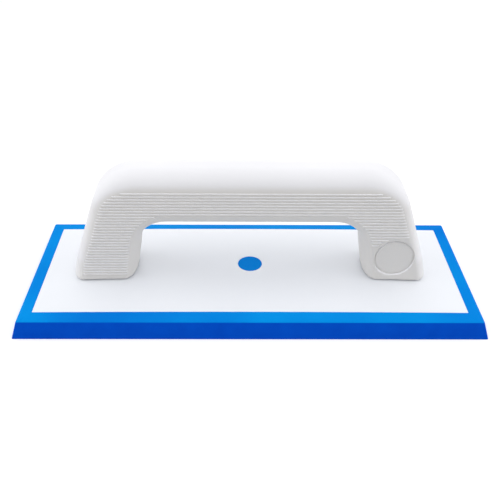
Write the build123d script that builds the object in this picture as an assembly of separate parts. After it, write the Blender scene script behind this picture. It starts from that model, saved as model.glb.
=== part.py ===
from build123d import *
import os
from math import atan, degrees

os.makedirs("parts", exist_ok=True)

# Hand float: a rubber pad with a crowned plastic plate set into it, and a bridge
# handle screwed to the plate from below.
# Millimetres. +X along the length, +Y across, +Z up. Origin: centre of the sole.

# ---------------------------------------------------------------- driving sizes
# Rubber pad
sole_length = 250.0
sole_width = 97.0
pad_side_height = 9.3        # top of the flared sides
pad_side_flare = 3.0         # how far each side leans in from the sole to its top
pad_corner_radius = 2.0
rim_width = 6.9              # rubber rim seen around the plate
rim_rise = 0.7               # the rim climbs this much towards the plate
sole_thickness = 6.0         # rubber under the plate

# Backing plate
plate_corner_radius = 1.0
lip_width = 3.0              # lip that the rubber rim wraps over
lip_thickness = 2.2
edge_bow = 0.6               # rise of the long edges at mid length
crown = 2.5                  # further rise of the centre line
gate_hole_radius = 6.85      # hole that the rubber plug fills

# Handle
grip_top = 77.0
grip_under = 47.4
grip_half_depth = 13.0       # half the grip's size in Y, at mid height of the grip
side_lean = 0.032            # widening in Y per mm of height going down
shoulder_x = 76.7            # where the grip's top line would meet the leg's outer line
shoulder_radius = 28.0
heel_x = 95.5
heel_rise = 14.0             # heel corner above the plate's edge
heel_radius = 30.0
foot_outer_x = 98.4
inner_corner_x = 58.2        # where the underside would meet the leg's inner line
inner_corner_radius = 13.0
foot_inner_x = 63.3
outer_rounding = 8.5
inner_rounding = 8.5
foot_clearance = 0.1         # shadow gap between a foot and the plate

# Round recess on a foot's side face
recess_radius = 11.0
recess_depth = 0.8
recess_x = 78.1
recess_z = 27.3

# Cored pocket in each leg, open at the foot
pocket_length = 10.0
pocket_width = 15.0
pocket_depth = 26.0

# Screws
screw_radius = 2.0           # outside of the thread
screw_length = 17.0          # under the head
screw_tip_length = 3.0
screw_head_radius = 4.0
screw_head_height = 2.4
screw_half_pitch = 10.5      # from the middle of a foot's pair to each screw
thread_clearance = 0.1
shank_clearance = 0.25
head_clearance = 0.6
head_sink = 0.6              # how deep the heads sit inside the plate's underside
driver_slot_length = 4.2
driver_slot_width = 0.9
driver_slot_depth = 1.3
pilot_extra_depth = 1.5

# ---------------------------------------------------------------- derived sizes
pad_top_length = sole_length - 2 * pad_side_flare
pad_top_width = sole_width - 2 * pad_side_flare
plate_length = pad_top_length - 2 * rim_width
plate_width = pad_top_width - 2 * rim_width
plate_edge_z = pad_side_height + rim_rise
plate_under_z = sole_thickness
foot_mid_x = (foot_outer_x + foot_inner_x) / 2
screw_places = [
    (side * (foot_mid_x + step * screw_half_pitch), 0.0)
    for side in (-1, 1)
    for step in (-1, 1)
]
seat_z = plate_under_z + head_sink + screw_head_height   # shoulder of the heads
grip_mid_z = (grip_top + grip_under) / 2

match = 0.01                 # how near two coordinates must be to be the same corner
side_face_normal = 0.99      # a side face's normal points almost straight along Y


def half_depth_at(z):
    """Half the handle's size in Y at a height."""
    return grip_half_depth + side_lean * (grip_mid_z - z)


def crown_height(x, y):
    """Height of the plate's top at a point."""
    u = x / (plate_length / 2)
    v = y / (plate_width / 2)
    return plate_edge_z + edge_bow * (1 - u**2) + crown * (1 - v**2) * (1 - u**4)


def under_crown(lift=0.0):
    """Everything below the plate's crowned top, as one solid with a deep skirt."""
    reach = 1.04             # the surface goes this much past the plate's edges
    steps_x, steps_y = 24, 12
    rows = []
    for i in range(steps_x + 1):
        x = reach * plate_length / 2 * (2 * i / steps_x - 1)
        row = []
        for j in range(steps_y + 1):
            y = reach * plate_width / 2 * (2 * j / steps_y - 1)
            row.append(Vector(x, y, crown_height(x, y) + lift))
        rows.append(row)
    top = Face.make_surface_from_array_of_points(rows)
    return Solid.extrude(top, Vector(0, 0, -2 * plate_edge_z))


def slab(length, width, radius, low, high):
    """Upright block with rounded corners between two heights."""
    outline = Plane.XY.offset(low) * RectangleRounded(length, width, radius)
    return extrude(outline, high - low)


def post(x, y, radius, low, high):
    """Upright round post between two heights."""
    return Pos(x, y, (low + high) / 2) * Cylinder(radius, high - low)


# ---------------------------------------------------------------- backing plate
def plate_envelope():
    """The plate without its holes."""
    body = slab(plate_length, plate_width, plate_corner_radius, plate_under_z, grip_under)
    lip = slab(
        plate_length + 2 * lip_width,
        plate_width + 2 * lip_width,
        plate_corner_radius + lip_width,
        plate_under_z,
        plate_under_z + lip_thickness,
    )
    return (body & under_crown()) + lip


def make_plate():
    """Crowned plate with its gate hole and four counterbored screw holes."""
    plate = plate_envelope()
    plate -= post(0, 0, gate_hole_radius, 0, grip_under)
    for x, y in screw_places:
        plate -= post(x, y, screw_radius + shank_clearance, 0, grip_under)
        plate -= post(x, y, screw_head_radius + head_clearance, 0, seat_z)
    return plate


# ---------------------------------------------------------------- rubber pad
def make_pad():
    """Flared rubber block with the plate's bed cut out and the plug left standing."""
    outlines = (
        (0, sole_length, sole_width, pad_corner_radius),
        (pad_side_height, pad_top_length, pad_top_width, pad_corner_radius),
        (plate_edge_z, plate_length, plate_width, plate_corner_radius),
    )
    sections = [
        Plane.XY.offset(height) * RectangleRounded(length, width, radius)
        for height, length, width, radius in outlines
    ]
    block = loft(sections, ruled=True)
    plug = post(0, 0, gate_hole_radius, plate_under_z, grip_under) & under_crown()
    return block - plate_envelope() + plug


# ---------------------------------------------------------------- handle
def arch_outline():
    """Side outline of the bridge handle, down to the plate's edge height."""
    base = plate_edge_z
    heel_z = base + heel_rise
    right = [
        (shoulder_x, grip_top),
        (heel_x, heel_z),
        (foot_outer_x, base),
        (foot_inner_x, base),
        (inner_corner_x, grip_under),
    ]
    left = [(-x, z) for x, z in reversed(right)]
    outline = make_face(Polyline(*right, *left, close=True))
    bends = (
        (shoulder_x, grip_top, shoulder_radius),
        (heel_x, heel_z, heel_radius),
        (inner_corner_x, grip_under, inner_corner_radius),
    )
    for x, z, radius in bends:
        corners = [
            corner
            for corner in outline.vertices()
            if abs(abs(corner.X) - x) < match and abs(corner.Y - z) < match
        ]
        outline = fillet(corners, radius)
    return outline


def side_edges(arch, inner):
    """Edges along the two flat side faces: the hand gap's side, or the outer side."""
    found = []
    for face in arch.faces():
        if abs(face.normal_at().Y) < side_face_normal:
            continue
        for edge in face.edges():
            middle = edge.center()
            at_foot = middle.Z < plate_edge_z + match
            faces_gap = abs(middle.X) < foot_mid_x and middle.Z < grip_mid_z
            if not at_foot and faces_gap == inner:
                found.append(edge)
    return found


def make_handle():
    """Bridge handle with rounded edges, feet fitted to the crown, pockets and pilot holes."""
    base = plate_edge_z
    arch = extrude(Plane.XZ * arch_outline(), 2 * grip_half_depth, both=True)
    flanks = make_face(
        Polyline(
            (-half_depth_at(base), base),
            (half_depth_at(base), base),
            (half_depth_at(grip_top), grip_top),
            (-half_depth_at(grip_top), grip_top),
            close=True,
        )
    )
    arch &= extrude(Plane.YZ * flanks, 2 * foot_outer_x, both=True)
    arch = fillet(side_edges(arch, inner=True), inner_rounding)
    arch = fillet(side_edges(arch, inner=False), outer_rounding)

    arch -= under_crown(foot_clearance)
    pilot_top = seat_z + screw_length + pilot_extra_depth
    for x, y in screw_places:
        arch -= post(x, y, screw_radius + thread_clearance, base, pilot_top)
    for side in (-1, 1):
        middle = Pos(side * foot_mid_x, 0, base + pocket_depth / 2)
        arch -= middle * Box(pocket_length, pocket_width, pocket_depth)
        arch -= recess_cutter(side)
    return arch


def recess_cutter(side):
    """Shallow disc sunk in the side face: front of the right foot, back of the left one."""
    lean = degrees(atan(side_lean))
    disc = Rot(90 - lean, 0, 0) * Cylinder(recess_radius, 2 * recess_depth)
    disc = Pos(recess_x, -half_depth_at(recess_z), recess_z) * disc
    return disc if side > 0 else Rot(0, 0, 180) * disc


# ---------------------------------------------------------------- screws
def make_screw(x, y):
    """Pan-head screw driven upwards, drawn at its thread's outside diameter."""
    head = post(x, y, screw_head_radius, seat_z - screw_head_height, seat_z)
    rim = head.edges().group_by(Axis.Z)[0]
    head = fillet(rim, screw_head_height / 3)
    slot_z = seat_z - screw_head_height + driver_slot_depth / 2
    slot = Box(driver_slot_length, driver_slot_width, driver_slot_depth)
    for turn in (0, 90):
        head -= Pos(x, y, slot_z) * Rot(0, 0, turn) * slot
    shank = post(x, y, screw_radius, seat_z, seat_z + screw_length - screw_tip_length)
    tip_z = seat_z + screw_length - screw_tip_length / 2
    tip = Pos(x, y, tip_z) * Cone(screw_radius, screw_radius / 4, screw_tip_length)
    return head + shank + tip


# ---------------------------------------------------------------- write the pieces
pieces = {
    "rubber_pad": make_pad(),
    "backing_plate": make_plate(),
    "handle": make_handle(),
}
for number, (x, y) in enumerate(screw_places, start=1):
    pieces[f"handle_screw_{number}"] = make_screw(x, y)

for name, piece in pieces.items():
    export_step(piece, f"parts/{name}.step")
    box = piece.bounding_box()
    print(name, len(piece.solids()), "solid,", round(piece.volume / 1000, 2), "cm3,", box.min, box.max)
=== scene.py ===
"""Looks of a rubber grout float: bridge handle, backing plate, rubber pad, screws, and a studio."""
import logging
import math
from dataclasses import dataclass, field
from enum import Enum
from typing import Any, Optional, Sequence

import bmesh
import bpy
from mathutils import Matrix, Vector


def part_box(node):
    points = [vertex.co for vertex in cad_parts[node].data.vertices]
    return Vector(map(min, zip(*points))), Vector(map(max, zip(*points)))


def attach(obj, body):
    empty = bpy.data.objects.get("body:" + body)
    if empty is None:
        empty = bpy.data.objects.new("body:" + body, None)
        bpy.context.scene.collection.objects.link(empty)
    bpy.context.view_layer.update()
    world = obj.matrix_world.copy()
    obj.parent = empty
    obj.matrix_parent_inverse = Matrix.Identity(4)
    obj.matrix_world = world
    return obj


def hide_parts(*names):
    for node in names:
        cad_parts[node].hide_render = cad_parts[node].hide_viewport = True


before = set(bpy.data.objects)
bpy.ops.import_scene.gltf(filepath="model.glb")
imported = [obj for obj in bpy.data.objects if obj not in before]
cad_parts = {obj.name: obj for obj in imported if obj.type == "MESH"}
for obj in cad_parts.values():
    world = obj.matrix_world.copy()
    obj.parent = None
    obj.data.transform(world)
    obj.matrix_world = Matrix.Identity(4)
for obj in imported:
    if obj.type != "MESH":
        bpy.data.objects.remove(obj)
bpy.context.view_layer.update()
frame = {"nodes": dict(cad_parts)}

log = logging.getLogger("float")

MM = 0.001                       # one millimetre in metres
BODY = "root"                    # the float has no joints, so everything rides on one body
WELD_MM = 0.002                  # vertices nearer than this are one
TINY_MM = 1e-9                   # shortest run that a point is placed on
SHARP_DEGREES = 40.0             # edges that turn more than this stay crisp
QUARTER = (0.4, 0.8, 1.2, math.pi / 2)       # angles that a small rounded edge is drawn at

Point2 = tuple[float, float]
Point3 = tuple[float, float, float]
Ring = list[Point3]


# ---------------------------------------- colours and nodes
def linear_colour(code: str, alpha: float = 1.0) -> tuple[float, float, float, float]:
    """Turns an sRGB hex code into a linear colour.

    Args:
        code: six hex digits after a hash sign.
        alpha: opacity.

    Returns:
        Linear red, green and blue, and the alpha.
    """
    channels = [int(code[i:i + 2], 16) / 255 for i in (1, 3, 5)]
    linear = [c / 12.92 if c <= 0.04045 else ((c + 0.055) / 1.055) ** 2.4 for c in channels]
    return linear[0], linear[1], linear[2], alpha


def add_node(
    tree: bpy.types.NodeTree,
    kind: str,
    settings: Optional[dict[str, Any]] = None,
    values: Optional[dict[Any, Any]] = None,
    links: Optional[dict[Any, bpy.types.NodeSocket]] = None,
) -> bpy.types.Node:
    """Adds a node with its settings, socket values and incoming links.

    Args:
        tree: the node tree.
        kind: the node's type name.
        settings: properties of the node.
        values: input sockets, by name or number, and what each is set to.
        links: input sockets, by name or number, and the output that feeds each.

    Returns:
        The new node.
    """
    node = tree.nodes.new(kind)
    for name, value in (settings or {}).items():
        setattr(node, name, value)
    for name, value in (values or {}).items():
        node.inputs[name].default_value = value
    for name, output in (links or {}).items():
        tree.links.new(output, node.inputs[name])
    return node


def per_metre(size_mm: float) -> float:
    """Texture scale whose features are about this many millimetres apart."""
    return 1.0 / (size_mm * MM)


def box_in_mm(node: str) -> tuple[Vector, Vector]:
    """Lowest and highest corners of a CAD node, in millimetres."""
    low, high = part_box(node)
    return low / MM, high / MM


# ---------------------------------------- finishes
@dataclass(frozen=True)
class Finish:
    """A surface with a grain: colour and roughness drift slowly, and a fine grain gives bump."""

    name: str
    light: str                   # hex colour of the lighter patches
    dark: str                    # hex colour of the darker patches
    roughness: tuple[float, float]
    ior: float
    specular: float              # 0.5 is the reflection that the IOR gives
    metallic: float
    drift_mm: float              # size of the slow patches
    grain_mm: float              # spacing of the fine grain
    grain_depth_mm: float
    stretch: tuple[float, float, float] = (1.0, 1.0, 1.0)
    # Painted top light: these colours make faces that look up paler, standing in for the light from
    # above.
    painted_top_light: Optional[str] = None         # hex colour that faces turned upwards take
    painted_top_light_dark: Optional[str] = None    # and the colour of its duller patches
    painted_top_light_from: tuple[float, float] = (0.35, 0.9)     # how far a face looks up as the colour sets in
    painted_top_patch_mm: float = 60.0             # size of the duller patches

    def build(self) -> bpy.types.Material:
        """Makes the node material.

        Returns:
            The material.
        """
        material = bpy.data.materials.new(self.name)
        material.use_nodes = True
        tree = material.node_tree
        tree.nodes.clear()
        place = add_node(tree, "ShaderNodeTexCoord").outputs["Object"]
        along = add_node(
            tree, "ShaderNodeMapping", values={"Scale": self.stretch}, links={"Vector": place},
        )
        drift = add_node(
            tree, "ShaderNodeTexNoise",
            values={"Scale": per_metre(self.drift_mm), "Detail": 3.0, "Roughness": 0.5},
            links={"Vector": place},
        ).outputs["Fac"]
        grain = add_node(
            tree, "ShaderNodeTexNoise",
            values={"Scale": per_metre(self.grain_mm), "Detail": 2.0, "Roughness": 0.6},
            links={"Vector": along.outputs["Vector"]},
        ).outputs["Fac"]
        colour = add_node(
            tree, "ShaderNodeMix",
            settings={"data_type": "RGBA"},
            values={6: linear_colour(self.dark), 7: linear_colour(self.light)},
            links={0: drift},
        ).outputs[2]
        # Painted top light: faces that look up take a paler colour that stands in for the light from
        # above.
        if self.painted_top_light and self.painted_top_light_dark:
            colour = self.paint_top_light(tree, colour)
        smoothest, roughest = self.roughness
        rough = add_node(
            tree, "ShaderNodeMapRange",
            values={"From Min": 0.3, "From Max": 0.7, "To Min": smoothest, "To Max": roughest},
            links={"Value": grain},
        ).outputs["Result"]
        bump = add_node(
            tree, "ShaderNodeBump",
            values={"Strength": 1.0, "Distance": self.grain_depth_mm * MM},
            links={"Height": grain},
        ).outputs["Normal"]
        shader = add_node(
            tree, "ShaderNodeBsdfPrincipled",
            values={"Metallic": self.metallic, "IOR": self.ior, "Specular IOR Level": self.specular},
            links={"Base Color": colour, "Roughness": rough, "Normal": bump},
        )
        add_node(tree, "ShaderNodeOutputMaterial", links={"Surface": shader.outputs["BSDF"]})
        return material

    def paint_top_light(self, tree: bpy.types.NodeTree, colour: bpy.types.NodeSocket) -> bpy.types.NodeSocket:
        """Blends in painted top light: a paler, patchy colour on faces that look up, standing in for the
        light that falls on them from above.

        Args:
            tree: the material's nodes.
            colour: the colour of the upright faces.

        Returns:
            The blended colour.
        """
        facing = add_node(tree, "ShaderNodeTexCoord").outputs["Normal"]
        upward = add_node(tree, "ShaderNodeSeparateXYZ", links={"Vector": facing}).outputs["Z"]
        place = add_node(tree, "ShaderNodeTexCoord").outputs["Object"]
        patches = add_node(
            tree, "ShaderNodeTexNoise",
            values={"Scale": per_metre(self.painted_top_patch_mm), "Detail": 2.0, "Roughness": 0.5},
            links={"Vector": place},
        ).outputs["Fac"]
        brightness = add_node(
            tree, "ShaderNodeMapRange",
            values={"From Min": 0.35, "From Max": 0.65},
            links={"Value": patches},
        ).outputs["Result"]
        # The paler, patchy colour is painted top light, not a colour of the material itself.
        painted_top_lit = add_node(
            tree, "ShaderNodeMix",
            settings={"data_type": "RGBA"},
            values={6: linear_colour(self.painted_top_light_dark), 7: linear_colour(self.painted_top_light)},
            links={0: brightness},
        ).outputs[2]
        share = add_node(
            tree, "ShaderNodeMapRange",
            settings={"interpolation_type": "SMOOTHSTEP"},
            values={"From Min": self.painted_top_light_from[0], "From Max": self.painted_top_light_from[1]},
            links={"Value": upward},
        ).outputs["Result"]
        return add_node(
            tree, "ShaderNodeMix", settings={"data_type": "RGBA"},
            links={0: share, 6: colour, 7: painted_top_lit},
        ).outputs[2]


# Polypropylene structural foam, moulded: a satin white skin with a faint swirl, about a millimetre
# wide. The upright faces are a warmer, duller white, and the top is painted paler and cooler as painted
# top light, standing in for the light that falls on it from above.
MOULDED_FOAM_WHITE = Finish(
    name="moulded_polypropylene_white", light="#E3E1DF", dark="#DFDDDA", roughness=(0.42, 0.56), ior=1.49,
    specular=0.22, metallic=0.0, drift_mm=26.0, grain_mm=0.9, grain_depth_mm=0.005, painted_top_light="#F1F1F5",
    painted_top_light_dark="#EEEEF2", painted_top_light_from=(0.0, 0.5),
)
# Impact polystyrene, moulded against a fine spark-eroded tool: a cool, even white with a soft gloss.
# The real grain is about 0.1 mm, too fine to show, so it is drawn ten times coarser and very shallow.
MOULDED_POLYSTYRENE_WHITE = Finish(
    name="moulded_polystyrene_white", light="#EEF1F7", dark="#EBEEF4", roughness=(0.34, 0.46), ior=1.59,
    specular=0.4, metallic=0.0, drift_mm=40.0, grain_mm=1.1, grain_depth_mm=0.004,
)
# Hard nitrile rubber, moulded: deep blue with a dull skin that hides most reflections. Faces that
# look up are painted paler and patchy, as painted top light standing in for the light that falls on them
# from above. The skin's real grain is about 0.1 mm and is drawn seven times coarser, so that it shows.
MOULDED_RUBBER_BLUE = Finish(
    name="moulded_nitrile_rubber_blue", light="#0058D6", dark="#0049C4", roughness=(0.56, 0.74), ior=1.52,
    specular=0.03, metallic=0.0, drift_mm=9.0, grain_mm=0.7, grain_depth_mm=0.02, painted_top_light="#0090E4",
    painted_top_light_dark="#0078D8",
)
# Steel screw, turned and zinc plated: a greyish metal with streaks along it. They are about 0.1 mm
# apart on a real one and are drawn four times coarser.
ZINC_PLATED_STEEL = Finish(
    name="zinc_plated_steel", light="#C9CCCF", dark="#AEB1B4", roughness=(0.25, 0.42), ior=1.5,
    specular=0.5, metallic=1.0, drift_mm=2.0, grain_mm=0.4, grain_depth_mm=0.004, stretch=(1.0, 1.0, 5.0),
)


# ---------------------------------------- outlines
@dataclass
class Outline:
    """Points of a flat outline, each with the unit normal on the left of its run."""

    points: list[Vector]
    normals: list[Vector]

    def resampled(self, count: int) -> "Outline":
        """Spreads points evenly along the outline.

        Args:
            count: how many points to return.

        Returns:
            The new outline.
        """
        reach = [0.0]
        for start, end in zip(self.points, self.points[1:]):
            reach.append(reach[-1] + (end - start).length)
        points, normals = [], []
        span = 0
        for i in range(count):
            goal = reach[-1] * i / (count - 1)
            while span < len(reach) - 2 and reach[span + 1] < goal:
                span += 1
            part = (goal - reach[span]) / max(reach[span + 1] - reach[span], TINY_MM)
            points.append(self.points[span].lerp(self.points[span + 1], part))
            normals.append(self.normals[span].lerp(self.normals[span + 1], part).normalized())
        return Outline(points, normals)


def left_of(run: Vector) -> Vector:
    """Unit normal on the left of a run."""
    return Vector((-run.y, run.x)).normalized()


def arc_at(before: Vector, corner: Vector, after: Vector, radius: float, steps: int) -> Outline:
    """Rounds one corner of an outline.

    Args:
        before: the point before the corner.
        corner: the corner.
        after: the point after it.
        radius: the arc's radius.
        steps: how many runs the arc is drawn with.

    Returns:
        The arc, from its start to its end.
    """
    run_in = (corner - before).normalized()
    run_out = (after - corner).normalized()
    turn = run_in.angle_signed(run_out)
    reach = radius * math.tan(abs(turn) / 2)
    side = 1.0 if run_in.cross(run_out) > 0 else -1.0
    start = corner - run_in * reach
    centre = start + left_of(run_in) * radius * side
    points, normals = [], []
    for i in range(steps + 1):
        angle = side * abs(turn) * i / steps
        normal = left_of(run_in)
        normal = Vector((
            normal.x * math.cos(angle) - normal.y * math.sin(angle),
            normal.x * math.sin(angle) + normal.y * math.cos(angle),
        ))
        points.append(centre - normal * radius * side)
        normals.append(normal)
    return Outline(points, normals)


def rounded_outline(corners: Sequence[Point2], radii: Sequence[float], steps: int) -> Outline:
    """Joins corners with straight runs and rounds the ones between the ends.

    Args:
        corners: the outline's corners, in order.
        radii: one radius for each corner but the first and the last.
        steps: how many runs each arc is drawn with.

    Returns:
        The outline.
    """
    bends = [Vector(corner) for corner in corners]
    points = [bends[0]]
    normals = [left_of(bends[1] - bends[0])]
    for i, radius in enumerate(radii, start=1):
        arc = arc_at(bends[i - 1], bends[i], bends[i + 1], radius, steps)
        points.extend(arc.points)
        normals.extend(arc.normals)
    points.append(bends[-1])
    normals.append(left_of(bends[-1] - bends[-2]))
    return Outline(points, normals)


def rounded_rectangle(length: float, width: float, radius: float, around: int) -> list[Point2]:
    """Points around a rectangle with rounded corners, counter-clockwise.

    Args:
        length: size along X.
        width: size along Y.
        radius: of the corners.
        around: points in a quarter: a fourth of them round the corner, the rest along the sides.

    Returns:
        The points.
    """
    bend = around // 4
    straight = (around - bend) // 2
    half_x, half_y = length / 2 - radius, width / 2 - radius
    quarter = [(length / 2, half_y * i / straight) for i in range(straight)]
    for i in range(bend + 1):
        angle = math.pi / 2 * i / bend
        quarter.append((half_x + radius * math.cos(angle), half_y + radius * math.sin(angle)))
    quarter += [(half_x * (1 - i / straight), width / 2) for i in range(1, straight)]
    mirrored = [(-x, y) for x, y in reversed(quarter[1:])]
    upper = quarter + [(0.0, width / 2)] + mirrored
    lower = [(-x, -y) for x, y in upper]
    return upper + lower


# ---------------------------------------- meshes
@dataclass
class MeshDraft:
    """Vertices and faces in millimetres, gathered before they become an object."""

    vertices: list[Point3] = field(default_factory=list)
    faces: list[list[int]] = field(default_factory=list)

    def add_rings(self, rings: Sequence[Ring], capped: bool = True) -> None:
        """Joins closed rings of equal length into a skin.

        Args:
            rings: the rings, in order.
            capped: closes the first and the last ring with one face each.
        """
        base = len(self.vertices)
        count = len(rings[0])
        for ring in rings:
            self.vertices.extend(ring)
        for row in range(len(rings) - 1):
            low = base + row * count
            for i in range(count):
                j = (i + 1) % count
                self.faces.append([low + i, low + j, low + count + j, low + count + i])
        if capped:
            last = base + (len(rings) - 1) * count
            self.faces.append([base + i for i in reversed(range(count))])
            self.faces.append([last + i for i in range(count)])

    def to_object(self, name: str, material: bpy.types.Material) -> bpy.types.Object:
        """Makes the object, in metres, with consistent outward faces.

        Args:
            name: the object's name.
            material: its finish.

        Returns:
            The object, linked to the scene.
        """
        mesh = bpy.data.meshes.new(name)
        mesh.from_pydata([[c * MM for c in vertex] for vertex in self.vertices], [], self.faces)
        mesh.validate()
        mesh.materials.append(material)
        piece = bpy.data.objects.new(name, mesh)
        bpy.context.scene.collection.objects.link(piece)
        close_shell(piece)
        mesh.shade_smooth()
        mesh.set_sharp_from_angle(angle=math.radians(SHARP_DEGREES))
        return piece


def close_shell(piece: bpy.types.Object, weld: bool = False) -> None:
    """Turns the faces of an object's closed shells outwards.

    Args:
        piece: the object.
        weld: first merges vertices that lie on each other.
    """
    shell = bmesh.new()
    shell.from_mesh(piece.data)
    if weld:
        bmesh.ops.remove_doubles(shell, verts=shell.verts, dist=WELD_MM * MM)
        bmesh.ops.dissolve_degenerate(shell, edges=shell.edges, dist=WELD_MM * MM)
    bmesh.ops.recalc_face_normals(shell, faces=shell.faces)
    shell.to_mesh(piece.data)
    shell.free()


def cut_out(piece: bpy.types.Object, cutter: bpy.types.Object) -> None:
    """Cuts one closed mesh out of another and removes the cutter.

    Args:
        piece: what is cut.
        cutter: what is taken away.
    """
    cut = piece.modifiers.new("cut", "BOOLEAN")
    cut.operation = "DIFFERENCE"
    cut.solver = "EXACT"
    cut.object = cutter
    graph = bpy.context.evaluated_depsgraph_get()
    baked = bpy.data.meshes.new_from_object(piece.evaluated_get(graph))
    piece.modifiers.clear()
    piece.data = baked
    bpy.data.objects.remove(cutter)


def smoothstep(low: float, high: float, value: float) -> float:
    """Climbs smoothly from 0 at low to 1 at high."""
    part = min(max((value - low) / (high - low), 0.0), 1.0)
    return part * part * (3 - 2 * part)


# ---------------------------------------- backing plate
@dataclass
class BackingPlate:
    """White plate with a crowned top and a round hole in its middle. Sizes in millimetres.

    Its length, width and heights come from the frame.
    """

    lip: float = 3.0             # the CAD plate reaches this far under the rubber rim
    corner_radius: float = 0.4
    edge_bow: float = 0.6        # rise of the long edges at mid length
    crown: float = 2.5           # further rise of the middle
    hole_radius: float = 6.85
    edge_rounding: float = 0.15
    around: int = 48             # points along a quarter of a ring
    rows: int = 40
    row_bias: float = 0.9        # below 1, rows lie closer together at the edge
    length: float = field(init=False)
    width: float = field(init=False)
    under_z: float = field(init=False)
    edge_z: float = field(init=False)

    def __post_init__(self) -> None:
        """Takes the plate's size and heights from the frame."""
        low, high = box_in_mm("backing_plate")
        self.length = high.x - low.x - 2 * self.lip
        self.width = high.y - low.y - 2 * self.lip
        self.under_z = low.z
        # The plate is highest beside the hole, on its long middle line.
        at_hole = (2 * self.hole_radius / self.length) ** 2
        self.edge_z = high.z - self.edge_bow * (1 - at_hole) - self.crown * (1 - at_hole ** 2)

    def height(self, x: float, y: float) -> float:
        """Height of the crowned top.

        Args:
            x: place along the plate.
            y: place across it.

        Returns:
            The height.
        """
        u = x / (self.length / 2)
        v = y / (self.width / 2)
        return self.edge_z + self.edge_bow * (1 - u ** 2) + self.crown * (1 - v ** 2) * (1 - u ** 4)

    def ring(self, part: float, inset: float, drop: float) -> Ring:
        """A ring between the hole, at part 0, and the plate's edge, at part 1.

        Args:
            part: how far out the ring lies.
            inset: how far an end ring draws back from its edge.
            drop: how far it lies below the crowned top.

        Returns:
            The ring's points.
        """
        length, width = self.length - 2 * inset, self.width - 2 * inset
        points = []
        for x, y in rounded_rectangle(length, width, self.corner_radius, self.around):
            angle = math.atan2(y * self.length / self.width, x)
            hole = self.hole_radius + inset
            px = hole * math.cos(angle) * (1 - part) + x * part
            py = hole * math.sin(angle) * (1 - part) + y * part
            points.append((px, py, self.height(px, py) - drop))
        return points

    def build(self) -> bpy.types.Object:
        """Makes the plate, dressed and riding on the float.

        Returns:
            The plate.
        """
        r = self.edge_rounding
        angles = (0.0, 0.35, 0.75, 1.15, math.pi / 2)
        bend = [(r * (1 - math.cos(a)), r * (1 - math.sin(a))) for a in angles]
        rings = [self.floor_ring(0.0)]
        rings += [self.ring(0.0, inset, drop) for inset, drop in bend]
        rings += [self.ring((k / self.rows) ** self.row_bias, r, 0.0) for k in range(1, self.rows)]
        rings += [self.ring(1.0, inset, drop) for inset, drop in reversed(bend)]
        rings += [self.floor_ring(1.0)]
        draft = MeshDraft()
        draft.add_rings(rings + [rings[0]], capped=False)
        plate = draft.to_object("backing_plate_moulding", MOULDED_POLYSTYRENE_WHITE.build())
        close_shell(plate, weld=True)
        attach(plate, BODY)
        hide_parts("backing_plate")
        return plate

    def floor_ring(self, part: float) -> Ring:
        """The ring where a wall meets the flat underside."""
        return [(x, y, self.under_z) for x, y, _ in self.ring(part, 0.0, 0.0)]


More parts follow.
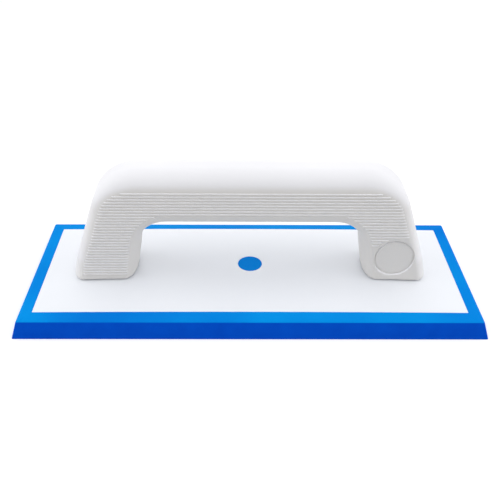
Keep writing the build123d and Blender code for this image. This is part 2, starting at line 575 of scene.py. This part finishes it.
# ---------------------------------------- rubber pad
@dataclass
class RubberPad:
    """Blue rubber block with flared sides, a rim around the plate, and a plug in the plate's hole.

    Sizes in millimetres. Its length and width come from the frame, and the rim meets the plate.
    """

    plate: BackingPlate
    side_height: float = 9.3
    flare: float = 3.0           # how far each side leans in
    corner_radius: float = 0.8
    edge_bow: float = 0.55       # the rim's inner edge rises with the plate's edge
    sole_rounding: float = 0.15
    edge_rounding: float = 0.8
    rim_rounding: float = 0.12
    arc_steps: int = 5
    middle_inset: float = 38.0   # where the sole and the bed are closed
    around: int = 60             # points along a quarter of a ring
    plug_around: int = 72
    plug_rounding: float = 0.35
    plug_dish: float = 0.12
    length: float = field(init=False)
    width: float = field(init=False)

    def __post_init__(self) -> None:
        """Takes the pad's length and width from the frame."""
        low, high = box_in_mm("rubber_pad")
        self.length = high.x - low.x
        self.width = high.y - low.y

    def rim_inset(self) -> float:
        """How far the rim's inner edge lies in from the sole's edge."""
        return (self.length - self.plate.length) / 2

    def ring(self, inset: float, z: float) -> Ring:
        """A ring of the pad.

        Args:
            inset: how far it lies in from the sole's edge.
            z: its height, before the rim's bow is added.

        Returns:
            The ring's points.
        """
        inward = smoothstep(self.flare, self.rim_inset(), inset)
        radius = self.corner_radius + (self.plate.corner_radius - self.corner_radius) * inward
        outline = rounded_rectangle(self.length - 2 * inset, self.width - 2 * inset, radius, self.around)
        share = max((z - self.side_height) / (self.plate.edge_z - self.side_height), 0.0)
        ring = []
        for x, y in outline:
            u = min(abs(x) / (self.plate.length / 2), 1.0)
            ring.append((x, y, z + self.edge_bow * share * (1 - u ** 2)))
        return ring

    def block_rings(self) -> list[Ring]:
        """Rings from the middle of the sole, over the sides and the rim, to the middle of the bed.

        Returns:
            The rings.
        """
        rim_inset, bed_z = self.rim_inset(), self.plate.under_z
        profile = rounded_outline(
            [
                (self.middle_inset, 0.0),
                (0.0, 0.0),
                (self.flare, self.side_height),
                (rim_inset, self.plate.edge_z),
                (rim_inset, bed_z),
                (self.middle_inset, bed_z),
            ],
            [self.sole_rounding, self.edge_rounding, self.rim_rounding, self.rim_rounding],
            self.arc_steps,
        )
        return [self.ring(point.x, point.y) for point in profile.points]

    def plug_rings(self) -> list[Ring]:
        """Rings of the plug, from its foot in the bed to the dished top.

        Returns:
            The rings.
        """
        r, wall = self.plug_rounding, self.plate.hole_radius
        top = self.plate.height(wall, 0.0)
        steps = [(wall, self.plate.under_z)]
        steps += [(wall - r * (1 - math.cos(a)), top - r * (1 - math.sin(a))) for a in (0.0, *QUARTER)]
        for part in (0.85, 0.65, 0.4, 0.15):
            steps.append((wall * part, top - self.plug_dish * (1 - part ** 2)))
        turns = [2 * math.pi * i / self.plug_around for i in range(self.plug_around)]
        rings = []
        for radius, z in steps:
            rings.append([(radius * math.cos(turn), radius * math.sin(turn), z) for turn in turns])
        return rings

    def build(self) -> bpy.types.Object:
        """Makes the pad with its plug, dressed and riding on the float.

        Returns:
            The pad.
        """
        draft = MeshDraft()
        draft.add_rings(self.block_rings())
        draft.add_rings(self.plug_rings())
        pad = draft.to_object("rubber_pad_moulding", MOULDED_RUBBER_BLUE.build())
        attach(pad, BODY)
        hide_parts("rubber_pad")
        return pad


# ---------------------------------------- handle
class Side(Enum):
    """The two flat side faces of the handle."""

    FRONT = -1
    BACK = 1


@dataclass
class Station:
    """One cross-section of the handle: where its outer and inner skins run, with their normals."""

    outer: Vector
    outer_normal: Vector
    inner: Vector
    inner_normal: Vector
    outer_rounding: float        # how far the outer rounding reaches in the plane of the side faces
    outer_depth: float           # how far it reaches along Y
    inner_depth: float           # how far the inner rounding reaches along Y


@dataclass
class RibRun:
    """Where ribs run at one height: the two borders of the flat face, and how it curls away there."""

    start: float                 # X of the left border
    end: float                   # X of the right border
    start_curl: float            # the face sinks by this times the distance squared
    end_curl: float

    def sunk(self, x: float) -> float:
        """How far the face has curled away from its plane at X."""
        before, after = max(self.start - x, 0.0), max(x - self.end, 0.0)
        return self.start_curl * before ** 2 + self.end_curl * after ** 2


@dataclass
class BridgeHandle:
    """White bridge handle with ribbed side faces and a round recess on each foot. Sizes in mm.

    The height of its top comes from the frame, and its feet follow the plate.
    """

    plate: BackingPlate
    grip_under: float = 47.4
    half_depth: float = 12.85    # to the bottom of the grooves between the ribs
    side_lean: float = 0.032     # widening per millimetre going down
    shoulder_x: float = 76.7
    shoulder_radius: float = 28.0
    heel_x: float = 95.5
    heel_rise: float = 14.0
    heel_radius: float = 30.0
    foot_outer_x: float = 98.4
    inner_corner_x: float = 57.9
    inner_corner_radius: float = 16.0
    foot_inner_x: float = 63.3
    bend_steps: int = 24         # runs in each arc of the shoulder and of the hand gap's corner
    heel_steps: int = 12
    zone_counts: tuple[int, int, int] = (16, 26, 34)     # cross-sections of grip, shoulder and leg

    grip_rounding: float = 9.4
    leg_rounding: float = 6.2
    inner_rounding: float = 6.6
    foot_outer_depth: float = 11.0     # the outer rounding deepens along Y towards the foot
    leg_inner_depth: float = 12.4      # the leg's inner side is nearly half an ellipse
    rounding_steps: int = 12
    face_parts: tuple[float, ...] = (0.0, 0.03, 0.12, 0.35, 0.65, 0.88, 0.97)    # rows across a face

    foot_gap: float = 0.1        # between the foot's sole and the plate
    foot_edge: float = 0.5       # rounding of a foot's bottom edge
    foot_step: float = 0.85      # height of the shallow step under the edge
    foot_step_in: float = 2.4    # how far the step goes in
    foot_step_corner: float = 0.1
    foot_blend: float = 18.0     # height over which a foot takes the plate's crown

    recess_x: float = 78.1
    recess_z: float = 27.3
    recess_radius: float = 11.0
    recess_depth: float = 0.8
    recess_lip: float = 0.3
    recess_around: int = 96
    moat_width: float = 0.9      # a fine groove runs round the recess, just inside its wall
    moat_depth: float = 1.2
    moat_corner: float = 0.1

    rib_pitch: float = 1.735
    rib_width: float = 1.15
    rib_height: float = 0.42
    rib_bite: float = 0.02       # a rib's border lies this far inside the face
    rib_root: float = 0.2        # and its hidden base this far
    rib_fade: float = 1.2        # length over which a rib's ends die away
    rib_first_z: float = 66.6
    rib_overrun: float = 1.6     # how far a rib runs on into the roundings
    rib_clear: float = 0.5       # plain band round the recess
    rib_shortest: float = 3.0
    rib_last_rise: float = 5.5   # lowest rib above the plate's edge
    sharp_degrees: float = 35.0
    grip_top: float = field(init=False)

    def __post_init__(self) -> None:
        """Takes the height of the grip's top from the frame."""
        self.grip_top = box_in_mm("handle")[1].z

    def half_depth_at(self, z: float) -> float:
        """Half the handle's size in Y at a height."""
        return self.half_depth + self.side_lean * ((self.grip_top + self.grip_under) / 2 - z)

    def outer_zones(self) -> list[Outline]:
        """The outer skin's right half.

        Returns:
            Its grip, its shoulder and its leg.
        """
        base = self.plate.edge_z
        start, shoulder = Vector((0.0, self.grip_top)), Vector((self.shoulder_x, self.grip_top))
        heel, foot = (self.heel_x, base + self.heel_rise), (self.foot_outer_x, base)
        bend = arc_at(start, shoulder, Vector(heel), self.shoulder_radius, self.bend_steps)
        grip = Outline([start, bend.points[0]], [bend.normals[0]] * 2)
        leg = rounded_outline([tuple(bend.points[-1]), heel, foot], [self.heel_radius], self.heel_steps)
        return [grip, bend, leg]

    def inner_zones(self) -> list[Outline]:
        """The inner skin's right half, around the hand gap.

        Returns:
            Its grip, its corner and its leg.
        """
        start = Vector((0.0, self.grip_under))
        corner = Vector((self.inner_corner_x, self.grip_under))
        foot = Vector((self.foot_inner_x, self.plate.edge_z))
        bend = arc_at(start, corner, foot, self.inner_corner_radius, self.bend_steps)
        grip = Outline([start, bend.points[0]], [bend.normals[0]] * 2)
        leg = Outline([bend.points[-1], foot], [bend.normals[-1]] * 2)
        return [grip, bend, leg]

    def stations(self) -> list[Station]:
        """Cross-sections of the right half, from the middle of the grip to the foot.

        Returns:
            The cross-sections. Their roundings change over the shoulder and deepen down the leg.
        """
        found = []
        leg_zone = len(self.zone_counts) - 1
        zones = zip(self.outer_zones(), self.inner_zones(), self.zone_counts)
        for zone, (outer, inner, count) in enumerate(zones):
            outer, inner = outer.resampled(count), inner.resampled(count)
            for i in range(count if zone == leg_zone else count - 1):
                part = i / (count - 1)
                bend = (0.0, smoothstep(0, 1, part), 1.0)[zone]
                down = (0.0, 0.0, part)[zone]
                rounding = self.grip_rounding + (self.leg_rounding - self.grip_rounding) * bend
                found.append(Station(
                    outer.points[i], outer.normals[i], inner.points[i], -inner.normals[i], rounding,
                    rounding + (self.foot_outer_depth - self.leg_rounding) * down,
                    self.inner_rounding + (self.leg_inner_depth - self.inner_rounding) * bend,
                ))
        return found

    def section(self, station: Station) -> list[tuple[float, float, float, float]]:
        """Points of one cross-section.

        Args:
            station: the cross-section.

        Returns:
            For each point its X, its Z, its side of the middle (-1 or 1), and how far it lies in
            from the side face. The ring starts at the front face's inner border.
        """
        r_out, r_in = station.outer_rounding, self.inner_rounding
        core_out = station.outer - station.outer_normal * r_out
        core_in = station.inner - station.inner_normal * r_in
        angles = [math.pi / 2 * i / self.rounding_steps for i in range(self.rounding_steps + 1)]
        half, under = [], []
        for part in self.face_parts:
            point = core_in.lerp(core_out, part)
            half.append((point.x, point.y, 0.0))
        for angle in angles:
            point = core_out + station.outer_normal * r_out * math.sin(angle)
            half.append((point.x, point.y, station.outer_depth * (1 - math.cos(angle))))
        for angle in angles[1:]:
            point = core_in + station.inner_normal * r_in * math.sin(angle)
            under.append((point.x, point.y, station.inner_depth * (1 - math.cos(angle))))
        front = [(x, z, -1.0, inset) for x, z, inset in half]
        back = [(x, z, 1.0, inset) for x, z, inset in reversed(half)]
        under_back = [(x, z, 1.0, inset) for x, z, inset in under]
        under_front = [(x, z, -1.0, inset) for x, z, inset in reversed(under)]
        return front + back + under_back + under_front

    def right_rings(self) -> list[Ring]:
        """Rings from the middle of the grip down to the foot's sole.

        Returns:
            The rings. Near the foot they are lifted, point by point, to follow the plate's crown.
        """
        sections = [self.section(station) for station in self.stations()]
        base = self.plate.edge_z
        above_plate = self.foot_gap + self.foot_step + self.foot_edge
        lifts = []
        for x, z, side, inset in sections[-1]:
            y = side * (self.half_depth_at(z) - inset)
            lifts.append(self.plate.height(x, y) + above_plate - z)
        rings = []
        for section in sections:
            ring = []
            for (x, z, side, inset), lift in zip(section, lifts):
                z += lift * (1 - min(max((z - base) / self.foot_blend, 0.0), 1.0))
                ring.append((x, side * (self.half_depth_at(z) - inset), z))
            rings.append(ring)
        return rings + self.edge_rings(rings[-1])

    def edge_rings(self, last: Ring) -> list[Ring]:
        """Rounds the bottom edge of a foot inwards and steps down to its sole.

        Args:
            last: the lowest full ring.

        Returns:
            The rings of the rounding and the step.
        """
        count = len(last)
        r, corner = self.foot_edge, self.foot_step_corner
        steps = [(r * (1 - math.cos(a)), r * math.sin(a)) for a in QUARTER]
        steps += [(r + self.foot_step_in - corner, r), (r + self.foot_step_in, r + corner)]
        steps += [(r + self.foot_step_in, r + self.foot_step)]
        rings = []
        for inset, drop in steps:
            ring = []
            for i, (x, y, z) in enumerate(last):
                before, after = last[i - 1], last[(i + 1) % count]
                inward = left_of(Vector((after[0] - before[0], after[1] - before[1])))
                ring.append((x + inward.x * inset, y + inward.y * inset, z - drop))
            rings.append(ring)
        return rings

    def body(self) -> MeshDraft:
        """The whole arch as one closed skin.

        Returns:
            The skin.
        """
        right = self.right_rings()
        left = [[(-x, y, z) for x, y, z in ring] for ring in reversed(right[1:])]
        draft = MeshDraft()
        draft.add_rings(left + right)
        return draft

    def recess_cutter(self, side: Side) -> bpy.types.Object:
        """A shallow disc with a fine groove round it and a flared lip, to be cut out of a side face.

        Args:
            side: the face.

        Returns:
            The disc.
        """
        r, floor, lip = self.recess_radius, -self.recess_depth, self.recess_lip
        moat, deep, corner = r - self.moat_width, -self.moat_depth, self.moat_corner
        profile = [(moat - corner, floor), (moat, floor - corner), (moat, deep), (r, deep), (r, -lip),
                   (r + 0.3 * lip, -0.4 * lip), (r + lip, 0.0), (r + 3 * lip, 2 * lip)]
        sign = side.value
        rings = []
        for radius, out in profile:
            ring = []
            for i in range(self.recess_around):
                angle = 2 * math.pi * i / self.recess_around
                x = radius * math.cos(angle) - sign * self.recess_x
                z = radius * math.sin(angle) + self.recess_z
                ring.append((x, sign * (self.half_depth_at(z) + out), z))
            rings.append(ring)
        draft = MeshDraft()
        draft.add_rings(rings)
        return draft.to_object("recess_cutter", bpy.data.materials.new("cutter"))

    def rib_runs(self, z: float) -> list[RibRun]:
        """Where ribs at a height run along a side face: one run through the grip, or one on each leg.

        Args:
            z: the ribs' height.

        Returns:
            The runs.
        """
        outer_border, inner_border = [], []
        for station in self.stations():
            core_out = station.outer - station.outer_normal * station.outer_rounding
            core_in = station.inner - station.inner_normal * self.inner_rounding
            outer_curl = station.outer_depth / (2 * station.outer_rounding ** 2)
            inner_curl = station.inner_depth / (2 * self.inner_rounding ** 2)
            outer_border.append(Vector((core_out.x, core_out.y, outer_curl)))
            inner_border.append(Vector((core_in.x, core_in.y, inner_curl)))
        outer, inner = crossing(outer_border, z), crossing(inner_border, z)
        if outer is None:
            return []
        if inner is None:
            return [RibRun(-outer.x, outer.x, outer.z, outer.z)]
        return [RibRun(-outer.x, -inner.x, outer.z, inner.z), RibRun(inner.x, outer.x, inner.z, outer.z)]

    def ribs(self) -> MeshDraft:
        """Every rib on both side faces, as low rounded ridges that fade out at their ends.

        Returns:
            The ribs.
        """
        draft = MeshDraft()
        z = self.rib_first_z
        while z > self.plate.edge_z + self.rib_last_rise:
            for run in self.rib_runs(z):
                for side in Side:
                    for ends in self.around_recess(run, z, side):
                        self.add_rib(draft, ends, run, z, side)
            z -= self.rib_pitch
        return draft

    def around_recess(self, run: RibRun, z: float, side: Side) -> list[Point2]:
        """Splits a rib's run where the round recess lies.

        Args:
            run: the rib's run.
            z: its height.
            side: the face it is on.

        Returns:
            What is left of the run.
        """
        clear = self.recess_radius + self.recess_lip + self.rib_clear + self.rib_width / 2
        off = abs(z - self.recess_z)
        centre = -side.value * self.recess_x
        low, high = run.start - self.rib_overrun, run.end + self.rib_overrun
        if z > self.recess_z + clear or not low < centre < high:
            return [(low, high)]
        if z < self.recess_z:
            return []
        reach = math.sqrt(clear ** 2 - off ** 2)
        parts = [(low, centre - reach), (centre + reach, high)]
        return [part for part in parts if part[1] - part[0] > self.rib_shortest]

    def add_rib(self, draft: MeshDraft, ends: Point2, run: RibRun, z: float, side: Side) -> None:
        """Adds one ridge.

        Args:
            draft: the mesh it goes to.
            ends: X of its left and right ends.
            run: the run it is part of.
            z: its height.
            side: the face it stands on.
        """
        (low, high), fade = ends, self.rib_fade
        # Along the ridge: X, and the share of the full height.
        stops = [(low, 0.02), (low + 0.25 * fade, 0.55), (low + 0.6 * fade, 0.88), (low + fade, 1.0),
                 (high - fade, 1.0), (high - 0.6 * fade, 0.88), (high - 0.25 * fade, 0.55), (high, 0.02)]
        # Across it: the place as a share of the width, and the share of the height.
        across = ((-0.5, 0.0), (-0.46, 0.5), (-0.38, 0.83), (-0.22, 0.97), (0.0, 1.0),
                  (0.22, 0.97), (0.38, 0.83), (0.46, 0.5), (0.5, 0.0))
        rings = []
        for x, share in stops:
            sunk = run.sunk(x)
            ring = []
            for step, level in across:
                rise = self.rib_height * share * level - self.rib_bite - sunk
                ring.append(self.rib_point(x, z + step * self.rib_width, rise, side))
            for step in (0.5, -0.5):
                ring.append(self.rib_point(x, z + step * self.rib_width, -self.rib_root - sunk, side))
            rings.append(ring)
        draft.add_rings(rings)

    def rib_point(self, x: float, z: float, rise: float, side: Side) -> Point3:
        """A point that stands a little out from a side face."""
        return x, side.value * (self.half_depth_at(z) + rise), z

    def build(self) -> list[bpy.types.Object]:
        """Makes the handle and its ribs, dressed and riding on the float.

        Returns:
            The handle and the ribs.
        """
        finish = MOULDED_FOAM_WHITE.build()
        handle = self.body().to_object("bridge_handle", finish)
        for side in Side:
            cut_out(handle, self.recess_cutter(side))
        close_shell(handle, weld=True)
        handle.data.shade_smooth()
        handle.data.set_sharp_from_angle(angle=math.radians(self.sharp_degrees))
        ribs = self.ribs().to_object("handle_ribs", finish)
        for piece in (handle, ribs):
            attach(piece, BODY)
        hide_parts("handle")
        return [handle, ribs]


def crossing(points: Sequence[Vector], z: float) -> Optional[Vector]:
    """Finds where a falling outline passes a height.

    Args:
        points: the outline. A point's second number is its height.
        z: the height.

    Returns:
        The point, or None if the outline never passes that height.
    """
    for start, end in zip(points, points[1:]):
        if start.y >= z > end.y:
            return start.lerp(end, (start.y - z) / (start.y - end.y))
    return None


# ---------------------------------------- screws
@dataclass
class ScrewSet:
    """The four screws under the feet. Their CAD shape is right, so they only get their finish."""

    prefix: str = "handle_screw_"

    def dress(self, nodes: dict[str, bpy.types.Object]) -> list[str]:
        """Gives each screw its finish.

        Args:
            nodes: the CAD objects by name.

        Returns:
            The names of the screws.
        """
        finish = ZINC_PLATED_STEEL.build()
        names = sorted(name for name in nodes if name.startswith(self.prefix))
        for name in names:
            nodes[name].data.materials.clear()
            nodes[name].data.materials.append(finish)
        return names


# ---------------------------------------- studio
@dataclass
class Studio:
    """White floor, soft lamps and the camera. Lengths in mm, angles in degrees, powers in watts."""

    camera_at: Point3 = (-6.23, -294.46, 237.7)
    pitch: float = 36.15         # how far the camera looks down
    yaw: float = 0.65
    roll: float = -0.52
    lens: float = 46.59
    sensor: float = 36.0
    shift_x: float = 0.01
    nearest: float = 10.0        # nothing closer to the camera is drawn
    world_strength: float = 0.28
    key_power: float = 14.3
    key_size: float = 2200.0
    key_at: Point3 = (0.0, -190.0, 1100.0)
    side_power: float = 4.3
    side_size: float = 900.0
    side_at: Point3 = (1000.0, 0.0, 420.0)
    back_power: float = 2.5
    back_at: Point3 = (0.0, 1000.0, 330.0)
    floor_size: float = 6000.0
    floor_drop: float = 0.02                       # keeps the floor clear of the sole
    floor_fade: Point2 = (450.0, 750.0)            # where the paper starts and ends its fade
    paper_colour: str = "#E6E6E6"
    paper_glow: float = 0.3                        # lifts the paper to white where it is seen

    def add_camera(self) -> None:
        """Adds the camera and makes it the scene's."""
        pitch, yaw, roll = (math.radians(a) for a in (self.pitch, self.yaw, self.roll))
        ahead = math.cos(pitch)
        forward = Vector((math.sin(yaw) * ahead, math.cos(yaw) * ahead, -math.sin(pitch)))
        level = Vector((math.cos(yaw), -math.sin(yaw), 0.0))
        down = forward.cross(level)
        right = level * math.cos(roll) + down * math.sin(roll)
        up = level * math.sin(roll) - down * math.cos(roll)
        turn = Matrix((right, up, -forward)).transposed()
        data = bpy.data.cameras.new("camera")
        data.sensor_width = self.sensor
        data.lens = self.lens
        data.shift_x = self.shift_x
        data.clip_start = self.nearest * MM
        camera = bpy.data.objects.new("camera", data)
        camera.matrix_world = Matrix.Translation(Vector(self.camera_at) * MM) @ turn.to_4x4()
        bpy.context.scene.collection.objects.link(camera)
        bpy.context.scene.camera = camera

    def seen_directly(self, tree: bpy.types.NodeTree) -> bpy.types.NodeSocket:
        """1 for rays from the camera, a mirror or a glass, and 0 for the rays that light things.

        Args:
            tree: the nodes it is added to.

        Returns:
            The output that holds it.
        """
        path = add_node(tree, "ShaderNodeLightPath").outputs
        pair = add_node(
            tree, "ShaderNodeMath", settings={"operation": "MAXIMUM"},
            links={0: path["Is Camera Ray"], 1: path["Is Glossy Ray"]},
        ).outputs[0]
        return add_node(
            tree, "ShaderNodeMath", settings={"operation": "MAXIMUM"},
            links={0: pair, 1: path["Is Transmission Ray"]},
        ).outputs[0]

    def add_world(self) -> None:
        """Lights the room evenly, and shows it white."""
        world = bpy.data.worlds.new("studio")
        world.use_nodes = True
        tree = world.node_tree
        tree.nodes.clear()
        strength = add_node(
            tree, "ShaderNodeMapRange", values={"To Min": self.world_strength, "To Max": 1.0},
            links={"Value": self.seen_directly(tree)},
        ).outputs["Result"]
        sky = add_node(
            tree, "ShaderNodeBackground", values={"Color": (1.0, 1.0, 1.0, 1.0)},
            links={"Strength": strength},
        )
        add_node(tree, "ShaderNodeOutputWorld", links={"Surface": sky.outputs["Background"]})
        bpy.context.scene.world = world

    def add_softbox(self, name: str, at: Point3, size: float, power: float) -> None:
        """Adds a square soft lamp that faces the float.

        Args:
            name: the lamp's name.
            at: where it stands.
            size: its side.
            power: in watts.
        """
        data = bpy.data.lights.new(name, "AREA")
        data.shape = "SQUARE"
        data.size = size * MM
        data.energy = power
        lamp = bpy.data.objects.new(name, data)
        lamp.location = Vector(at) * MM
        lamp.rotation_euler = (-lamp.location).to_track_quat("-Z", "Y").to_euler()
        bpy.context.scene.collection.objects.link(lamp)

    def add_lamps(self) -> None:
        """Adds the large lamp overhead, one at each end of the float and one behind it."""
        x, y, z = self.side_at
        self.add_softbox("overhead", self.key_at, self.key_size, self.key_power)
        self.add_softbox("side_left", (-x, y, z), self.side_size, self.side_power)
        self.add_softbox("side_right", (x, y, z), self.side_size, self.side_power)
        self.add_softbox("back", self.back_at, self.side_size, self.back_power)

    def add_floor(self) -> None:
        """Adds the floor: matt white paper that still takes the float's shadow."""
        half = self.floor_size / 2
        mesh = bpy.data.meshes.new("floor")
        corners = [(-half, -half), (half, -half), (half, half), (-half, half)]
        placed = [(x * MM, y * MM, -self.floor_drop * MM) for x, y in corners]
        mesh.from_pydata(placed, [], [(0, 1, 2, 3)])
        floor = bpy.data.objects.new("floor", mesh)
        bpy.context.scene.collection.objects.link(floor)
        floor.data.materials.append(self.paper())

    def paper(self) -> bpy.types.Material:
        """Matt white paper that fades into the white surround far from the float.

        Returns:
            The material.
        """
        material = bpy.data.materials.new("backdrop_paper")
        material.use_nodes = True
        tree = material.node_tree
        tree.nodes.clear()
        colour = linear_colour(self.paper_colour)
        matt = add_node(tree, "ShaderNodeBsdfDiffuse", values={"Color": colour})
        glow = add_node(
            tree, "ShaderNodeMath", settings={"operation": "MULTIPLY"}, values={1: self.paper_glow},
            links={0: self.seen_directly(tree)},
        )
        lift = add_node(
            tree, "ShaderNodeEmission", values={"Color": (1.0, 1.0, 1.0, 1.0)},
            links={"Strength": glow.outputs[0]},
        )
        both = add_node(tree, "ShaderNodeAddShader", links={0: matt.outputs[0], 1: lift.outputs[0]})
        place = add_node(tree, "ShaderNodeTexCoord").outputs["Object"]
        reach = add_node(
            tree, "ShaderNodeVectorMath", settings={"operation": "LENGTH"}, links={0: place},
        ).outputs["Value"]
        away = add_node(
            tree, "ShaderNodeMapRange", settings={"interpolation_type": "SMOOTHSTEP"},
            values={"From Min": self.floor_fade[0] * MM, "From Max": self.floor_fade[1] * MM},
            links={"Value": reach},
        ).outputs["Result"]
        clear = add_node(tree, "ShaderNodeBsdfTransparent")
        paper = add_node(
            tree, "ShaderNodeMixShader", links={0: away, 1: both.outputs[0], 2: clear.outputs[0]},
        )
        add_node(tree, "ShaderNodeOutputMaterial", links={"Surface": paper.outputs[0]})
        return material

    def build(self) -> None:
        """Builds the whole studio."""
        self.add_camera()
        self.add_world()
        self.add_lamps()
        self.add_floor()
        bpy.context.scene.view_settings.view_transform = "Standard"


# ---------------------------------------- the float
def report(piece: bpy.types.Object) -> None:
    """Logs a piece's name and mesh size."""
    log.info("%s: %d vertices, %d faces", piece.name, len(piece.data.vertices), len(piece.data.polygons))


def main() -> None:
    """Builds the pieces in order and reports each."""
    logging.basicConfig(level=logging.INFO, format="%(name)s: %(message)s")
    Studio().build()
    plate = BackingPlate()
    report(plate.build())
    report(RubberPad(plate).build())
    for piece in BridgeHandle(plate).build():
        report(piece)
    for name in ScrewSet().dress(frame["nodes"]):
        log.info("%s: dressed", name)


if __name__ == "__main__":
    main()
